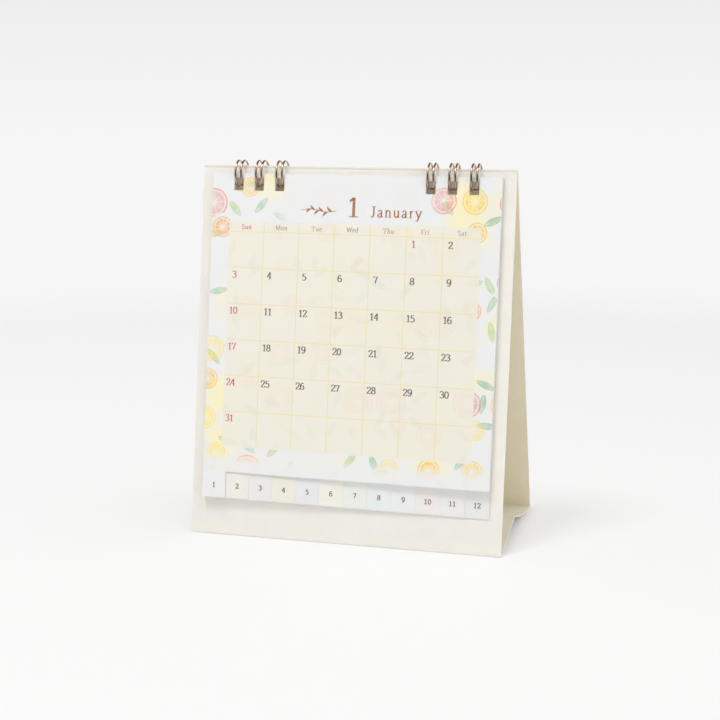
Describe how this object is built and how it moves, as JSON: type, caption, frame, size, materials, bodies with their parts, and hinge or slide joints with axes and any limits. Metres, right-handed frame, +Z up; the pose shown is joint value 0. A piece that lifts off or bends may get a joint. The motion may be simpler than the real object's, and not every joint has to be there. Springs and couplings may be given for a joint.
{
  "type": "ring-bound desk calendar",
  "caption": "Free-standing desk calendar: a folded card easel with twin-loop wires over its top fold, which hold month sheets with stepped index tabs that turn over to the back.",
  "frame": {"origin": "on the table, under the middle of the object box", "axes": "+Z up, +X to the right seen from the front, the front faces -Y"},
  "size_m": [0.126, 0.0712, 0.1491],
  "materials": {
    "stand_card": "uncoated cream card",
    "binding_wire": "satin copper-bronze coated steel wire",
    "sheet_paper": "uncoated printed paper"
  },
  "bodies": {
    "stand": {"front_panel": "stand_card", "glue_tab": "stand_card", "wire_left": "binding_wire", "wire_right": "binding_wire"},
    "rear_panel": {"rear_panel": "stand_card"},
    "base_front_flap": {"base_front_flap": "stand_card"},
    "base_rear_flap": {"base_rear_flap": "stand_card"},
    "pad_binding": {"sheet_01_binding": "sheet_paper", "sheet_02_binding": "sheet_paper", "sheet_03_binding": "sheet_paper", "sheet_04_binding": "sheet_paper", "sheet_05_binding": "sheet_paper", "sheet_06_binding": "sheet_paper", "sheet_07_binding": "sheet_paper", "sheet_08_binding": "sheet_paper", "sheet_09_binding": "sheet_paper", "sheet_10_binding": "sheet_paper", "sheet_11_binding": "sheet_paper", "sheet_12_binding": "sheet_paper"},
    "sheet_01_leaf": {"sheet_01_leaf": "sheet_paper"},
    "sheet_02_leaf": {"sheet_02_leaf": "sheet_paper"},
    "sheet_03_leaf": {"sheet_03_leaf": "sheet_paper"},
    "sheet_04_leaf": {"sheet_04_leaf": "sheet_paper"},
    "sheet_05_leaf": {"sheet_05_leaf": "sheet_paper"},
    "sheet_06_leaf": {"sheet_06_leaf": "sheet_paper"},
    "sheet_07_leaf": {"sheet_07_leaf": "sheet_paper"},
    "sheet_08_leaf": {"sheet_08_leaf": "sheet_paper"},
    "sheet_09_leaf": {"sheet_09_leaf": "sheet_paper"},
    "sheet_10_leaf": {"sheet_10_leaf": "sheet_paper"},
    "sheet_11_leaf": {"sheet_11_leaf": "sheet_paper"},
    "sheet_12_leaf": {"sheet_12_leaf": "sheet_paper"}
  },
  "joints": [
    {"name": "stand_fold", "type": "hinge", "parent": "stand", "child": "rear_panel", "pos_m": [0, -0.01271, 0.14504], "axis": [1, 0, 0], "range_deg": [-18.5, 0]},
    {"name": "base_front_crease", "type": "hinge", "parent": "stand", "child": "base_front_flap", "pos_m": [0, -0.03466, 0.00075], "axis": [1, 0, 0], "range_deg": [0, 42.5]},
    {"name": "base_ridge_crease", "type": "hinge", "parent": "base_front_flap", "child": "base_rear_flap", "pos_m": [0, -0.00297, 0.00634], "axis": [1, 0, 0], "range_deg": [-141, 0]},
    {"name": "page_turn", "type": "hinge", "parent": "stand", "child": "pad_binding", "pos_m": [0, -0.01333, 0.14428], "axis": [-1, 0, 0], "range_deg": [0, 228]},
    {"name": "sheet_01_bend", "type": "hinge", "parent": "pad_binding", "child": "sheet_01_leaf", "pos_m": [0, -0.01736, 0.13569], "axis": [-1, 0, 0], "range_deg": [0, 99]},
    {"name": "sheet_02_bend", "type": "hinge", "parent": "pad_binding", "child": "sheet_02_leaf", "pos_m": [0, -0.01719, 0.13546], "axis": [-1, 0, 0], "range_deg": [0, 99]},
    {"name": "sheet_03_bend", "type": "hinge", "parent": "pad_binding", "child": "sheet_03_leaf", "pos_m": [0, -0.01702, 0.13524], "axis": [-1, 0, 0], "range_deg": [0, 99]},
    {"name": "sheet_04_bend", "type": "hinge", "parent": "pad_binding", "child": "sheet_04_leaf", "pos_m": [0, -0.01685, 0.13501], "axis": [-1, 0, 0], "range_deg": [0, 99]},
    {"name": "sheet_05_bend", "type": "hinge", "parent": "pad_binding", "child": "sheet_05_leaf", "pos_m": [0, -0.01669, 0.13478], "axis": [-1, 0, 0], "range_deg": [0, 99]},
    {"name": "sheet_06_bend", "type": "hinge", "parent": "pad_binding", "child": "sheet_06_leaf", "pos_m": [0, -0.01652, 0.13455], "axis": [-1, 0, 0], "range_deg": [0, 99]},
    {"name": "sheet_07_bend", "type": "hinge", "parent": "pad_binding", "child": "sheet_07_leaf", "pos_m": [0, -0.01635, 0.13432], "axis": [-1, 0, 0], "range_deg": [0, 99]},
    {"name": "sheet_08_bend", "type": "hinge", "parent": "pad_binding", "child": "sheet_08_leaf", "pos_m": [0, -0.01618, 0.1341], "axis": [-1, 0, 0], "range_deg": [0, 99]},
    {"name": "sheet_09_bend", "type": "hinge", "parent": "pad_binding", "child": "sheet_09_leaf", "pos_m": [0, -0.01601, 0.13387], "axis": [-1, 0, 0], "range_deg": [0, 99]},
    {"name": "sheet_10_bend", "type": "hinge", "parent": "pad_binding", "child": "sheet_10_leaf", "pos_m": [0, -0.01585, 0.13364], "axis": [-1, 0, 0], "range_deg": [0, 99]},
    {"name": "sheet_11_bend", "type": "hinge", "parent": "pad_binding", "child": "sheet_11_leaf", "pos_m": [0, -0.01568, 0.13342], "axis": [-1, 0, 0], "range_deg": [0, 99]},
    {"name": "sheet_12_bend", "type": "hinge", "parent": "pad_binding", "child": "sheet_12_leaf", "pos_m": [0, -0.01551, 0.13319], "axis": [-1, 0, 0], "range_deg": [0, 99]}
  ],
  "couplings": [
    {"joint": "base_front_crease", "follows": "stand_fold", "ratio": -2.2432},
    {"joint": "base_ridge_crease", "follows": "stand_fold", "ratio": 7.4595},
    {"joint": "sheet_01_bend", "follows": "page_turn", "ratio": 0.42982},
    {"joint": "sheet_02_bend", "follows": "page_turn", "ratio": 0.42982},
    {"joint": "sheet_03_bend", "follows": "page_turn", "ratio": 0.42982},
    {"joint": "sheet_04_bend", "follows": "page_turn", "ratio": 0.42982},
    {"joint": "sheet_05_bend", "follows": "page_turn", "ratio": 0.42982},
    {"joint": "sheet_06_bend", "follows": "page_turn", "ratio": 0.42982},
    {"joint": "sheet_07_bend", "follows": "page_turn", "ratio": 0.42982},
    {"joint": "sheet_08_bend", "follows": "page_turn", "ratio": 0.42982},
    {"joint": "sheet_09_bend", "follows": "page_turn", "ratio": 0.42982},
    {"joint": "sheet_10_bend", "follows": "page_turn", "ratio": 0.42982},
    {"joint": "sheet_11_bend", "follows": "page_turn", "ratio": 0.42982},
    {"joint": "sheet_12_bend", "follows": "page_turn", "ratio": 0.42982}
  ]
}
